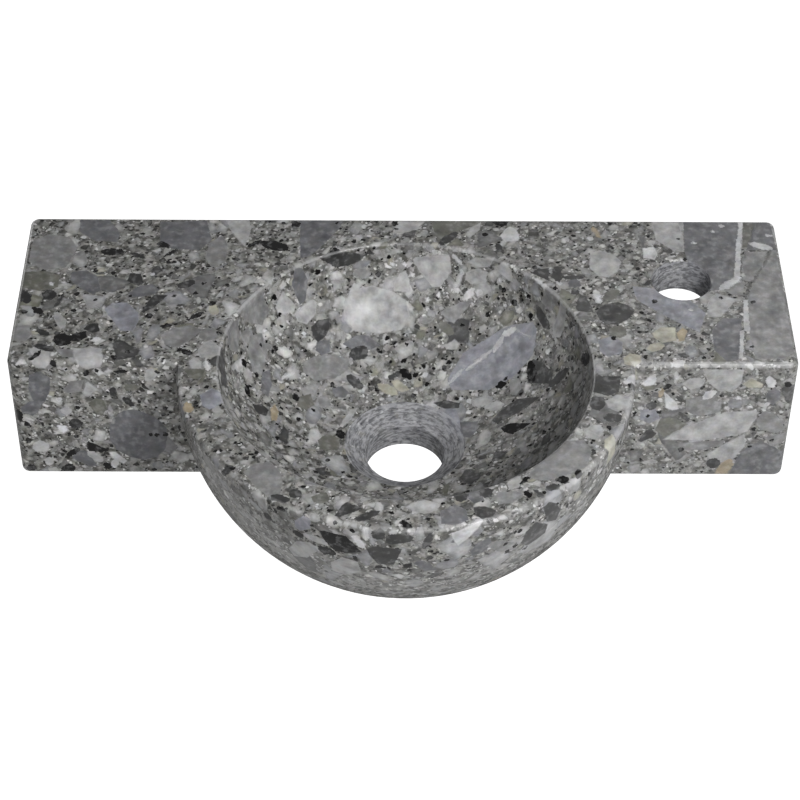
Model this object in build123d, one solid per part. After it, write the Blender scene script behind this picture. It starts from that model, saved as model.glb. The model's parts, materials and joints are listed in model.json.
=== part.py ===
from build123d import *
import math
import os

# Wall-hung basin carved from one stone, with its two wall fixings. Sizes are in millimetres.
# The frame: X to the right, Y into the wall, Z up. The origin is on the wall face, midway between the fixings.

# Block
width = 450.0
block_depth = 130.0
height = 90.0
corner_round = 5.0
edge_round = 3.5

# Bowl, whose centre is on the plane of the block's front face
bowl_offset = 1.5
bowl_radius = 130.0
bowl_upright = 0.5
bowl_overlap = 30.0
rim_width = 24.0
rim_round = 2.5
floor_thickness = 22.5

# Drain
drain_radius = 23.0
flare_width = 12.0
flare_angle = 35.0
drain_chamfer = 3.5

# Tap hole, with the pocket under it that is open below and towards the wall
tap_radius = 17.5
tap_from_side = 61.0
tap_from_wall = 56.0
tap_chamfer = 1.0
deck_thickness = 22.0
pocket_side_wall = 19.0
pocket_front_wall = 25.0
pocket_web = 14.5
pocket_corner = 10.0

# Fixings: their places, and the recesses for their washers and nuts in the back of the stone
fixing_spacing = 160.0
fixing_rise = 32.0
recess_clearance = 2.0
nut_gap = 1.1

# Hanger bolts, with a machine thread in the sleeve and a screw thread in the plug
bolt_radius = 5.0
thread_depth = 0.8
thread_pitch = 1.5
bolt_end_gap = 6.0
screw_radius = 4.8
screw_depth = 1.3
screw_pitch = 4.5
screw_end_gap = 1.0
screw_point = 8.0
screw_tip = 1.0
crest_share = 0.1

# Washers and nuts
washer_radius = 15.0
washer_clearance = 0.25
washer_thickness = 2.5
nut_flats = 16.0
nut_height = 8.4
nut_chamfer_angle = 30.0

# Fixing sleeves
sleeve_length = 56.0
sleeve_wall = 2.8
sleeve_clearance = 0.2
flange_width = 3.0
flange_thickness = 2.0
mouth_chamfer = 0.8

# Wall plugs
plug_wall = 2.2
plug_length = 60.0
plug_neck = 16.0
plug_tail = 5.0
plug_tooth = 4.0
plug_tooth_depth = 0.6
plug_slit = 1.6

# Levels and places in the stone that follow from these
underside = -fixing_rise
top = underside + height
front = -block_depth
bowl_band = edge_round + bowl_upright
hollow_radius = bowl_radius - rim_width
hollow_depth = height - floor_thickness
flare_radius = drain_radius + flare_width
flare_rim = top - hollow_depth * math.sqrt(1 - (flare_radius / hollow_radius) ** 2)
drain_top = flare_rim - flare_width * math.tan(math.radians(flare_angle))
tap_x = width / 2 - tap_from_side
tap_y = -tap_from_wall

# Sizes of the fixings that follow from these
fixing_places = (-fixing_spacing / 2, fixing_spacing / 2)
grip = washer_thickness + nut_height
recess_radius = washer_radius + recess_clearance
recess_depth = grip + nut_gap + flange_thickness
sleeve_bore = bolt_radius + sleeve_clearance
sleeve_radius = sleeve_bore + sleeve_wall
sleeve_end = -recess_depth - sleeve_length
bolt_end = sleeve_end + bolt_end_gap
plug_radius = screw_radius + plug_wall
jaw_end = plug_length - plug_tail
screw_end = jaw_end - screw_end_gap

# Cutters run this far past the faces that they open.
past = 5.0


def about_y(outline):
    """Turns a closed outline, given as radius and Y, about the Y axis."""
    return revolve(make_face(Polyline(*outline, close=True)), Axis.Y)


def at_fixings(shape):
    """A copy of a shape at each of the two fixings, as one group."""
    return Compound(children=[Pos(x, 0, 0) * shape for x in fixing_places])


def stone_block():
    """The rectangular block, with rounded upright corners and rounded edges round its top and underside."""
    block = Pos(0, front / 2, underside + height / 2) * Box(width, block_depth, height)
    block = fillet(block.edges().filter_by(Axis.Z), corner_round)
    levels = block.faces().filter_by(Plane.XY)
    return fillet(levels.edges(), edge_round)


def stone_bowl():
    """The outside of the bowl: a short upright band, then a sphere cut flat at the underside.

    It ends inside the block, so that it never reaches the wall face.
    """
    drop = height - bowl_band
    foot_radius = math.sqrt(bowl_radius ** 2 - drop ** 2)
    foot_angle = -math.degrees(math.asin(drop / bowl_radius))
    with BuildSketch(Plane.XZ) as half:
        with BuildLine():
            Line((0, underside), (0, top))
            Line((0, top), (bowl_radius, top))
            Line((bowl_radius, top), (bowl_radius, top - bowl_band))
            CenterArc((0, top - bowl_band), bowl_radius, 0, foot_angle)
            Line((foot_radius, underside), (0, underside))
        make_face()
        for corner in ((bowl_radius, top), (foot_radius, underside)):
            fillet(half.vertices().sort_by_distance(corner)[0], edge_round)
    bowl = Pos(bowl_offset, front, 0) * revolve(half.sketch, Axis.Z)
    back_cut = front + bowl_overlap
    front_cut = front - bowl_radius - past
    keep = Box(2 * bowl_radius + past, back_cut - front_cut, height + past)
    return bowl & (Pos(bowl_offset, (back_cut + front_cut) / 2, underside + height / 2) * keep)


def bowl_hollow():
    """The space inside the bowl: the lower half of an ellipsoid, the drain flare and the drain hole."""
    with BuildSketch(Plane.XZ) as half:
        with BuildLine():
            Line((0, top - hollow_depth), (0, top + past))
            Line((0, top + past), (hollow_radius, top + past))
            Line((hollow_radius, top + past), (hollow_radius, top))
            EllipticalCenterArc((0, top), hollow_radius, hollow_depth, 0, arc_size=-90)
        make_face()
    hollow = revolve(half.sketch, Axis.Z)
    flare_height = flare_rim - drain_top
    hollow += Pos(0, 0, flare_rim - flare_height / 2) * Cone(drain_radius, flare_radius, flare_height)
    bore_height = flare_rim - underside + past
    hollow += Pos(0, 0, flare_rim - bore_height / 2) * Cylinder(drain_radius, bore_height)
    chamfer_cone = Cone(drain_radius + drain_chamfer, drain_radius, drain_chamfer)
    hollow += Pos(0, 0, underside + drain_chamfer / 2) * chamfer_cone
    return Pos(bowl_offset, front, 0) * hollow


def tap_pocket():
    """The space under the tap hole, between the bowl and the block's right side."""
    left = bowl_offset + hollow_radius + pocket_web
    right = width / 2 - pocket_side_wall
    near = front + pocket_front_wall
    low = underside - past
    high = top - deck_thickness
    middle = Pos((left + right) / 2, (near + past) / 2, (low + high) / 2)
    pocket = middle * Box(right - left, past - near, high - low)
    return fillet(pocket.edges().filter_by(Axis.Z).sort_by(Axis.Y)[:2], pocket_corner)


def tap_hole():
    """The tap hole through the deck, with a small chamfer at the top."""
    hole = Pos(tap_x, tap_y, top - deck_thickness / 2) * Cylinder(tap_radius, deck_thickness + 2 * past)
    rim = Pos(tap_x, tap_y, top - tap_chamfer / 2) * Cone(tap_radius, tap_radius + tap_chamfer, tap_chamfer)
    return hole + rim


def fixing_hole():
    """One blind hole in the back: a recess for nut and washer, then the bore that holds a sleeve."""
    return about_y([(0, past), (recess_radius, past), (recess_radius, -recess_depth),
                    (sleeve_radius, -recess_depth), (sleeve_radius, sleeve_end), (0, sleeve_end)])


def stone_basin():
    """The carved stone: block and bowl in one, with the hollow, the holes and the pocket cut out."""
    stone = stone_block() + stone_bowl()
    stone -= bowl_hollow()
    rim = [edge for edge in stone.edges().filter_by(GeomType.CIRCLE)
           if abs(edge.radius - hollow_radius) < 0.01 and abs(edge.center().Z - top) < 0.01]
    stone = fillet(rim, rim_round)
    stone -= tap_pocket()
    stone -= tap_hole()
    for x in fixing_places:
        stone -= Pos(x, 0, 0) * fixing_hole()
    return stone


def fixing_sleeve():
    """A flanged tube, bonded in the stone, that slides over a bolt."""
    seat = -recess_depth
    face = seat + flange_thickness
    flange_radius = sleeve_radius + flange_width
    return about_y([(sleeve_bore + mouth_chamfer, face), (flange_radius, face), (flange_radius, seat),
                    (sleeve_radius, seat), (sleeve_radius, sleeve_end), (sleeve_bore, sleeve_end),
                    (sleeve_bore, face - mouth_chamfer)])


def thread_outline(start, end, pitch, crest, core):
    """Points of a thread's section along Y, from start down to end, as whole turns of one crest each."""
    turns = int((start - end) / pitch)
    half_crest = crest_share * pitch / 2
    points = []
    for turn in range(turns):
        root = start - turn * pitch
        middle = root - pitch / 2
        points.append((core, root))
        points.append((crest, middle + half_crest))
        points.append((crest, middle - half_crest))
    points.append((core, start - turns * pitch))
    return points


def hanger_bolt():
    """A bolt with a machine thread on the basin's side of the wall face and a screw thread in the plug."""
    bolt_core = bolt_radius - thread_depth
    screw_core = screw_radius - screw_depth
    outline = [(0, screw_end), (screw_tip, screw_end)]
    outline += thread_outline(screw_end - screw_point, 0, screw_pitch, screw_radius, screw_core)
    outline += [(screw_core, 0), (bolt_radius, 0), (bolt_radius, -grip)]
    outline += thread_outline(-grip, bolt_end + bolt_core, thread_pitch, bolt_radius, bolt_core)
    outline += [(bolt_core - mouth_chamfer, bolt_end), (0, bolt_end)]
    return about_y(outline)


def wall_washer():
    """A wide flat washer that bears on the wall face."""
    washer_hole = bolt_radius + washer_clearance
    return about_y([(washer_hole, 0), (washer_radius, 0), (washer_radius, -washer_thickness),
                    (washer_hole, -washer_thickness)])


def wall_nut():
    """A hexagon nut with both ends' corners turned off."""
    corner = nut_flats / math.sqrt(3)
    flat = nut_flats / 2
    run = (corner - flat) * math.tan(math.radians(nut_chamfer_angle))
    hexagon = extrude(Plane.XZ.offset(washer_thickness) * RegularPolygon(corner, 6), nut_height)
    turned = about_y([(bolt_radius, -washer_thickness), (flat, -washer_thickness),
                      (corner, -washer_thickness - run), (corner, run - grip), (flat, -grip),
                      (bolt_radius, -grip)])
    return hexagon & turned


def wall_plug():
    """An expanding plug: a plain neck, then toothed jaws parted by two slits, and a closed tail."""
    teeth = int((jaw_end - plug_neck) / plug_tooth)
    outline = [(screw_radius, 0), (plug_radius, 0), (plug_radius, plug_neck)]
    for tooth in range(teeth):
        foot = plug_neck + tooth * plug_tooth
        outline.append((plug_radius - plug_tooth_depth, foot + plug_tooth_depth))
        outline.append((plug_radius, foot + plug_tooth))
    outline += [(plug_radius, jaw_end), (screw_radius, plug_length), (0, plug_length),
                (0, jaw_end), (screw_radius, jaw_end)]
    plug = about_y(outline)
    slit_length = jaw_end - plug_neck - plug_tooth
    middle = Pos(0, plug_neck + slit_length / 2, 0)
    for turn in (0, 90):
        plug -= middle * Rot(0, turn, 0) * Box(plug_slit, slit_length, 3 * plug_radius)
    return plug


parts = {
    "stone_basin": stone_basin(),
    "fixing_sleeves": at_fixings(fixing_sleeve()),
    "hanger_bolts": at_fixings(hanger_bolt()),
    "wall_washers": at_fixings(wall_washer()),
    "wall_nuts": at_fixings(wall_nut()),
    "wall_plugs": at_fixings(wall_plug()),
}

os.makedirs("parts", exist_ok=True)
for name, shape in parts.items():
    export_step(shape, f"parts/{name}.step")
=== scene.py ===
import json
import math
import bpy
from mathutils import Matrix, Vector
from mathutils.bvhtree import BVHTree


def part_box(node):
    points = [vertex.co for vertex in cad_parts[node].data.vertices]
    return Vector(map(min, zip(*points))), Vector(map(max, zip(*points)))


# Wall-hung basin carved from one polished breccia, seen from the front and above on white.
# Lengths are in millimetres unless a name says metres. Blender's own unit here is the metre.
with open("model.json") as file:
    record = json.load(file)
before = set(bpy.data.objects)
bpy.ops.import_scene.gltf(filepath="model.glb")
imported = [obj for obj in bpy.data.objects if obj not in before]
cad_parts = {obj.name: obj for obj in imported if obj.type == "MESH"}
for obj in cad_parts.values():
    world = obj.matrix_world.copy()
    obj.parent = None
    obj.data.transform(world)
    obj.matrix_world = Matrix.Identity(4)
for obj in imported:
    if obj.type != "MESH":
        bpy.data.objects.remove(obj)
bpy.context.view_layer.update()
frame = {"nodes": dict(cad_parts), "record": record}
MM = 0.001
nodes = frame["nodes"]
mounts = {mount["name"]: mount for mount in frame["record"]["mounts"]}

# The photograph's camera, in the frame of the model
PHOTO_SIDE = 800
SENSOR = 36.0
FOCAL_PIXELS = 2359
MM_PER_PIXEL = 0.57
camera_place = Vector((-7.8, -1113.2, 962.5))
camera_pitch = math.radians(-43.5)
camera_yaw = math.radians(0.36)
camera_roll = math.radians(0.49)
forward = Vector((math.sin(camera_yaw) * math.cos(camera_pitch),
                  math.cos(camera_yaw) * math.cos(camera_pitch), math.sin(camera_pitch)))
level_right = Vector((math.cos(camera_yaw), -math.sin(camera_yaw), 0))
rise = level_right.cross(forward)
right = math.cos(camera_roll) * level_right + math.sin(camera_roll) * rise
up = right.cross(forward)

# Sizes of the stone that the frame's boxes and mounts don't give
FLARE_WIDTH = 12
RIM_WIDTH = 24
HOLLOW_FLOOR = 22.5
BOWL_MIDDLE_DROP = 4
DECK_THICKNESS = 22
POCKET_HALF_WIDTH = 42
POCKET_WALL = 25
COUNTERBORE_RADIUS = 17

# Sizes and places of the stone
stone_low, stone_high = [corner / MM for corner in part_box("stone_basin")]
top = stone_high.z
underside = stone_low.z
drain_axis = Vector(mounts["drain_hole"]["pos_m"]) / MM
drain_radius = mounts["drain_hole"]["dims"]["r_mm"]
flare_radius = drain_radius + FLARE_WIDTH
tap_axis = Vector(mounts["tap_hole"]["pos_m"]) / MM
tap_radius = mounts["tap_hole"]["dims"]["r_mm"]
fixing_x = mounts["wall_plug_right"]["pos_m"][0] / MM
sleeve_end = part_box("fixing_sleeves")[0].y / MM
front = drain_axis.y
bowl_radius = front - stone_low.y
hollow_radius = bowl_radius - RIM_WIDTH
hollow_depth = top - underside - HOLLOW_FLOOR
bowl_middle = Vector((drain_axis.x, front, top - BOWL_MIDDLE_DROP))
hollow_middle = Vector((drain_axis.x, front, top))
flare_rim = top - hollow_depth * math.sqrt(1 - (flare_radius / hollow_radius) ** 2)

# Fragments that the photograph shows, as corners in its pixels, by the kind of stone that they are
FRAGMENTS = {
    "slate": {
        "mound_in_bowl_left": [(331, 388), (342, 386), (349, 392), (345, 398), (335, 397)],
        "rim_front_right": [(440, 511), (455, 504), (466, 509), (469, 520), (455, 525), (441, 524)],
        "slab_under_black_wedge": [(71, 457), (80, 450), (88, 451), (94, 460), (98, 466), (90, 466),
            (78, 461)],
        "patch_on_left_front": [(29, 375), (40, 371), (50, 378), (50, 390), (45, 402), (33, 402), (28, 388)],
        "foot_of_patch": [(20, 408), (30, 401), (44, 402), (38, 412), (33, 416), (22, 413)],
        "block_left_of_rim": [(160, 222), (207, 221), (212, 240), (200, 250), (172, 249), (160, 242)],
        "star_in_bowl": [(342, 344), (356, 335), (368, 335), (381, 346), (368, 350), (355, 351)],
        "piece_before_dots": [(128, 293), (140, 286), (152, 284), (160, 290), (150, 296), (132, 297)],
        "left_deck_block": [(72, 272), (86, 270), (97, 276), (101, 290), (93, 295), (80, 288), (70, 280)],
        "round_piece_on_left_front": [(109, 427), (113, 418), (122, 411), (133, 409), (146, 413), (157, 418),
            (166, 427), (168, 438), (165, 450), (157, 457), (143, 460), (128, 456), (117, 450), (110, 440)],
        "hexagon_at_right": [(766, 397), (768, 391), (775, 388), (781, 392), (780, 400), (773, 405),
            (767, 402)],
        "left_wall_lower": [(262, 372), (270, 370), (272, 385), (268, 398), (261, 390)],
        "upper_left_wall": [(295, 268), (302, 268), (308, 280), (306, 300), (300, 305), (296, 296),
            (292, 285)],
        "corner_by_tap": [(683, 217), (740, 217), (739, 240), (735, 266), (733, 277), (720, 290), (700, 292),
            (690, 270), (684, 250)],
        "corner_beyond_crack": [(755, 217), (768, 217), (772, 230), (777, 251), (746, 250)],
        "block_before_tap": [(712, 330), (722, 318), (742, 318), (741, 359), (728, 362), (714, 350)],
        "granular_patch_at_back_left": [(80, 220), (110, 220), (120, 232), (118, 242), (95, 241), (80, 232)],
        "wedge_at_back_rim": [(300, 217), (343, 217), (341, 230), (328, 241), (318, 250), (312, 256),
            (300, 258)],
        "foot_of_dark_piece": [(316, 342), (330, 339), (330, 352), (322, 356), (316, 350)],
        "lower_right_front": [(728, 476), (738, 455), (750, 444), (762, 441), (775, 447), (786, 455),
            (782, 480)],
        "piece_on_bowls_right": [(470, 552), (478, 542), (490, 538), (492, 545), (482, 553), (472, 556)],
        "floor_of_bowl_right": [(459, 422), (478, 421), (477, 430), (470, 438), (460, 436)],
        "rim_patch_front_right": [(468, 491), (480, 490), (484, 500), (474, 504), (468, 498)],
        "lens_on_bowl": [(413, 563), (420, 560), (430, 563), (437, 570), (424, 571)],
        "bar_on_right_deck": [(568, 281), (580, 282), (580, 286), (569, 286)],
        "front_right_olive_slab_foot": [(664, 431), (676, 429), (676, 434), (668, 440)],
    },
    "grey": {
        "column_in_bowl_right": [(509, 384), (511, 378), (520, 378), (522, 388), (516, 396), (510, 394)],
        "left_front_triangle": [(62, 391), (70, 381), (84, 380), (80, 392), (68, 393)],
        "band_on_left_deck": [(54, 344), (80, 343), (96, 351), (110, 352), (108, 358), (62, 357), (56, 350)],
        "cloud_on_left": [(303, 362), (315, 356), (335, 354), (350, 360), (348, 370), (335, 379), (315, 381),
            (303, 372)],
        "wedge_right_of_rim": [(545, 288), (552, 290), (559, 299), (556, 306), (550, 312), (541, 302)],
        "long_piece_by_left_rim": [(209, 243), (222, 235), (228, 244), (226, 262), (212, 268), (205, 258)],
        "left_of_rim": [(201, 331), (212, 328), (215, 336), (205, 341)],
        "streak_in_bowl_back": [(354, 272), (361, 268), (371, 274), (366, 277), (357, 276)],
        "streaked_block_on_left_deck": [(160, 335), (172, 328), (190, 325), (205, 330), (190, 340),
            (180, 348), (165, 345)],
        "bowl_front_right": [(486, 546), (497, 540), (514, 542), (518, 549), (500, 552)],
        "left_wall_strip": [(228, 322), (238, 320), (240, 335), (238, 352), (230, 350)],
        "piece_between_cracks": [(745, 252), (768, 251), (762, 268), (750, 282), (742, 280), (742, 260)],
        "lower_right_front": [(672, 444), (700, 441), (725, 440), (722, 446), (700, 450), (680, 450)],
        "rim_right_front": [(526, 478), (534, 466), (552, 450), (566, 440), (584, 440), (592, 450),
            (588, 466), (570, 474), (545, 481)],
        "right_deck_corner": [(752, 284), (772, 250), (778, 250), (785, 287), (791, 330), (795, 352),
            (785, 359), (755, 359), (749, 330), (748, 300)],
        "block_on_left": [(33, 240), (50, 234), (70, 237), (78, 248), (66, 268), (45, 270), (28, 262)],
        "left_front_corner": [(14, 326), (30, 325), (31, 335), (26, 341), (13, 341)],
        "triangle_by_vein": [(721, 289), (735, 279), (742, 280), (745, 284), (743, 295), (735, 296)],
        "rim_beside_dark_oval": [(491, 498), (500, 492), (520, 491), (523, 496), (513, 503), (500, 504)],
        "rim_front_left": [(243, 472), (255, 463), (270, 462), (280, 470), (283, 484), (280, 495), (268, 496),
            (255, 487)],
        "right_front_middle": [(755, 424), (762, 412), (770, 411), (782, 420), (785, 430), (775, 433),
            (760, 430)],
        "pebble_in_bowl_left": [(318, 400), (324, 396), (331, 401), (328, 406), (320, 405)],
        "left_wall_upper": [(240, 290), (262, 292), (270, 310), (262, 326), (246, 322), (238, 305)],
        "left_wall_long": [(250, 335), (262, 333), (268, 352), (262, 376), (253, 372), (248, 350)],
        "green_grey_before_tap": [(686, 400), (700, 396), (722, 402), (720, 412), (700, 417), (686, 412)],
        "wedge_in_bowl_back": [(440, 312), (450, 306), (470, 299), (474, 301), (459, 318), (454, 324),
            (447, 321)],
        "right_front_edge": [(765, 437), (788, 432), (786, 442), (770, 446)],
    },
    "lavender": {
        "speckled_piece_on_left": [(104, 309), (112, 303), (127, 302), (138, 312), (139, 320), (133, 331),
            (120, 331)],
        "big_piece_in_bowl": [(447, 379), (463, 353), (501, 329), (515, 324), (533, 322), (537, 329),
            (533, 355), (512, 378), (489, 390), (451, 390)],
        "piece_before_tap": [(632, 286), (652, 288), (690, 300), (706, 313), (700, 333), (690, 330),
            (665, 316), (638, 303)],
        "right_front_deck": [(598, 340), (612, 336), (623, 342), (622, 354), (608, 357), (600, 352)],
        "rim_left_front": [(294, 520), (303, 516), (311, 520), (310, 529), (300, 531), (295, 527)],
        "front_strip_in_bowl": [(448, 398), (458, 412), (462, 440), (450, 444), (443, 420)],
        "left_front_of_bowl": [(200, 395), (212, 388), (222, 392), (224, 402), (210, 410), (202, 406)],
        "front_beside_dark_block": [(640, 410), (655, 408), (660, 418), (650, 424), (640, 420)],
    },
    "olive": {
        "left_deck": [(23, 272), (45, 271), (60, 275), (58, 287), (40, 291), (22, 287)],
        "band_by_crack": [(743, 217), (754, 217), (752, 235), (747, 247), (742, 248)],
        "wedge_at_back": [(429, 217), (455, 217), (458, 232), (456, 238), (444, 243), (438, 243)],
        "wedge_beside_it": [(456, 222), (478, 217), (474, 226), (462, 230), (457, 231)],
        "lens_before_rim": [(610, 330), (618, 326), (628, 332), (622, 335), (613, 334)],
        "wedge_in_bowl": [(440, 321), (446, 322), (452, 330), (450, 335), (444, 333)],
        "piece_in_bowl_left": [(297, 397), (311, 394), (314, 405), (306, 410), (297, 406)],
        "cup_on_left_deck": [(183, 369), (191, 368), (206, 370), (203, 375), (197, 379), (190, 378)],
        "slab_on_right_front": [(655, 430), (660, 419), (670, 417), (680, 421), (688, 424), (676, 432),
            (664, 437)],
        "left_front": [(124, 388), (130, 384), (136, 385), (136, 389), (128, 391)],
        "bowl_front_left": [(311, 497), (318, 494), (327, 493), (330, 500), (322, 503), (313, 502)],
        "behind_dark_oval": [(605, 298), (610, 290), (618, 290), (616, 297), (608, 301)],
        "bowl_floor_left": [(318, 440), (326, 434), (340, 438), (338, 450), (320, 450)],
        "disc_on_left_front": [(88, 403), (95, 398), (104, 400), (107, 408), (102, 416), (95, 412)],
    },
    "pale": {
        "strip_in_left_wall": [(243, 370), (248, 369), (252, 378), (249, 380)],
        "triangle_on_left_front": [(83, 394), (85, 383), (88, 381), (98, 389), (98, 391), (86, 395)],
        "left_deck_front": [(197, 350), (204, 342), (212, 340), (221, 347), (221, 353), (212, 358),
            (200, 358)],
        "second_triangle_on_left_front": [(143, 376), (148, 372), (152, 368), (155, 378), (152, 380)],
        "marbled_piece_before_tap": [(708, 300), (716, 293), (741, 300), (742, 317), (722, 317), (711, 330),
            (707, 316)],
        "long_piece_in_bowl_right": [(560, 301), (566, 308), (564, 330), (560, 338), (553, 338), (552, 328)],
        "lower_band_on_right_front": [(706, 454), (722, 445), (745, 433), (746, 445), (735, 458), (722, 463),
            (708, 459)],
        "band_on_right_front": [(662, 440), (676, 430), (700, 421), (722, 412), (757, 410), (757, 418),
            (748, 432), (735, 436), (700, 441)],
        "cloud_in_bowl": [(344, 302), (352, 290), (372, 285), (392, 290), (406, 300), (410, 316), (402, 330),
            (380, 334), (355, 332), (344, 320)],
        "head_of_cloud": [(350, 288), (354, 282), (360, 284), (362, 300), (346, 304)],
        "strip_by_left_rim": [(226, 220), (250, 220), (251, 232), (245, 247), (236, 238), (230, 230)],
        "left_deck_piece": [(53, 313), (58, 311), (67, 320), (66, 327), (60, 330), (55, 322)],
        "triangle_on_left_arris": [(70, 360), (108, 358), (100, 367), (86, 370)],
        "left_arris": [(30, 362), (44, 359), (52, 362), (46, 369), (36, 368)],
        "rim_at_back": [(398, 217), (430, 217), (418, 229), (405, 233), (393, 234)],
        "back_of_rim": [(482, 221), (480, 230), (470, 238), (465, 235), (470, 228)],
        "by_tap": [(650, 217), (677, 217), (684, 238), (684, 252), (672, 250), (655, 240)],
        "bowl_back_right": [(412, 259), (416, 257), (450, 254), (452, 272), (441, 287), (432, 288),
            (418, 270)],
        "tall_piece_in_bowl_back": [(399, 273), (406, 270), (410, 280), (410, 292), (393, 292), (393, 284)],
        "bowl_back_far_right": [(466, 262), (475, 257), (494, 259), (490, 267), (478, 268)],
        "below_it": [(465, 272), (478, 268), (488, 272), (486, 283), (472, 285), (465, 280)],
        "strip_by_right_rim": [(495, 266), (503, 262), (512, 270), (513, 283), (507, 280), (498, 272)],
        "left_wall_piece": [(283, 290), (289, 297), (296, 304), (294, 313), (278, 315), (275, 307)],
        "left_wall_neighbour": [(294, 314), (305, 303), (313, 299), (318, 302), (315, 316), (307, 325),
            (298, 322)],
        "triangle_in_bowl": [(443, 345), (455, 339), (460, 344), (457, 350), (446, 350)],
        "row_in_bowl_front_left": [(471, 404), (485, 397), (491, 396), (488, 402), (476, 408)],
        "row_in_bowl_front_right": [(484, 407), (495, 401), (503, 403), (500, 409), (488, 410)],
        "bent_piece_in_bowl": [(350, 409), (358, 408), (352, 419), (343, 428), (338, 427)],
        "left_front_oval": [(33, 447), (37, 442), (44, 443), (51, 449), (40, 452)],
        "left_front_pebble": [(45, 461), (50, 457), (54, 460), (51, 465), (47, 464)],
        "left_front_low_pebble": [(50, 470), (53, 466), (58, 468), (58, 474), (51, 474)],
        "left_front_strip": [(60, 410), (66, 407), (71, 412), (69, 414)],
        "left_front_chip": [(88, 451), (95, 451), (100, 456), (102, 462), (96, 462), (91, 456)],
        "bar_on_left_front": [(108, 407), (112, 405), (114, 414), (113, 424), (109, 420)],
        "right_front_block": [(605, 401), (617, 394), (632, 397), (628, 407), (618, 412), (608, 408)],
        "right_front_wide": [(702, 369), (745, 369), (742, 384), (732, 392), (718, 391), (708, 382)],
        "right_front_lavender": [(681, 384), (690, 378), (700, 377), (706, 380), (702, 387), (690, 390)],
        "rim_front": [(405, 507), (412, 502), (425, 499), (441, 504), (438, 510), (425, 514), (414, 512)],
        "rim_front_column": [(511, 476), (517, 475), (519, 487), (513, 490), (509, 484)],
        "bowl_front_left": [(288, 548), (296, 541), (310, 542), (318, 550), (308, 558), (294, 556)],
        "bowl_front_low": [(330, 562), (342, 557), (358, 562), (362, 572), (345, 575), (332, 570)],
        "strip_on_bowl": [(303, 534), (312, 535), (323, 540), (325, 545), (316, 543)],
        "rim_of_left_deck": [(188, 361), (194, 357), (202, 361), (202, 369), (191, 369)],
        "right_of_rim": [(583, 430), (592, 424), (602, 424), (604, 434), (596, 440), (586, 438)],
        "right_deck_round": [(589, 252), (600, 250), (615, 255), (622, 262), (618, 272), (608, 278),
            (598, 276), (589, 268)],
    },
    "vein": {
        "vein_in_lavender_low": [(446, 383), (464, 368.5), (465, 370.5), (447, 385)],
        "vein_in_lavender_middle": [(464, 368.5), (492, 350), (493, 352.5), (465, 370.5)],
        "vein_in_lavender_high": [(492, 350), (502.5, 335.5), (505, 338), (493, 352.5)],
        "vein_in_lavender_top": [(502.5, 335.5), (513.5, 325.5), (515.5, 328.5), (505, 338)],
        "side_vein_in_lavender": [(514, 327), (531, 338), (530.3, 339.2), (513.3, 328.4)],
        "vein_behind_tap": [(738, 217), (743, 217), (742, 240), (737, 240)],
        "vein_beside_tap": [(736, 239), (741, 239), (741, 260), (735, 262)],
        "vein_bend": [(735, 260), (741, 258), (740, 278), (734, 278)],
        "vein_towards_tap": [(721, 290), (733, 277), (741, 277), (726, 289)],
        "vein_below": [(743, 300), (748, 300), (750, 331), (744, 331)],
        "vein_lower": [(740, 331), (745, 330), (743, 359), (739, 359)],
        "streak_right_of_crack": [(749, 243), (760, 244), (772, 247), (772, 249), (752, 247)],
    },
    "white": {
        "pebble_in_bowl_back": [(463, 296), (467, 291), (474, 288), (473, 296), (468, 299)],
        "small_piece_by_tap": [(642, 248), (654, 246), (658, 254), (655, 260), (643, 258)],
        "tick_at_right_edge": [(764, 236), (769, 234), (772, 235), (769, 237)],
        "bar_in_bowl_back": [(452, 254), (458, 257), (464, 264), (460, 265), (453, 259)],
        "leaf_in_bowl_back": [(453, 288), (457, 278), (463, 269), (464, 276), (458, 287), (455, 290)],
        "leaf_behind_right_rim": [(531, 276), (540, 280), (547, 284), (548, 287), (540, 286), (533, 281)],
        "back_rim_pebble": [(510, 226), (516, 229), (520, 235), (519, 241), (505, 242), (499, 236),
            (506, 228)],
        "bar_on_right_deck": [(591, 291), (594, 290), (604, 302), (600, 304)],
        "leaf_in_left_wall": [(281, 379), (288, 374), (294, 371), (289, 379)],
        "chip_on_left_deck": [(203, 363), (206, 360), (210, 364), (212, 369), (208, 370), (205, 367)],
        "left_deck_front_chip": [(93, 338), (98, 336), (101, 339), (98, 342), (93, 341)],
        "round_chip_on_left_front": [(57, 428), (62, 425), (67, 427), (66, 431), (61, 433)],
        "shard_on_left_front": [(108, 452), (115, 451), (128, 461), (124, 464), (112, 458)],
        "shard_below_it": [(111, 462), (116, 459), (119, 463), (117, 468), (112, 466)],
        "wedge_on_bowl": [(450, 533), (465, 528), (480, 522), (488, 520), (482, 527), (470, 537), (459, 547),
            (455, 543)],
        "shard_beside_black_diamond": [(351, 536), (356, 537), (367, 546), (364, 549), (355, 542)],
        "column_on_bowl": [(362, 526), (368, 526), (370, 535), (366, 541), (362, 538)],
        "right_front_shard": [(764, 379), (768, 376), (775, 381), (777, 386), (770, 388)],
        "right_front_quill": [(674, 375), (677, 371), (679, 378), (677, 384), (674, 381)],
        "right_front_lens": [(703, 397), (708, 391), (716, 391), (713, 396), (705, 399)],
        "right_front_leaf": [(664, 391), (670, 396), (677, 402), (679, 409), (672, 411), (665, 408)],
        "right_front_fan": [(640, 384), (648, 377), (656, 373), (657, 380), (655, 385), (645, 387)],
        "second_right_front_fan": [(622, 382), (632, 374), (637, 371), (637, 380), (634, 384), (625, 385)],
        "right_arris": [(672, 365), (676, 361), (685, 361), (680, 367)],
        "right_arris_chip": [(746, 362), (751, 362), (753, 370), (748, 369)],
    },
    "cream": {
        "chips_before_tap": [(648, 348), (654, 343), (664, 344), (662, 349), (652, 351)],
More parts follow.
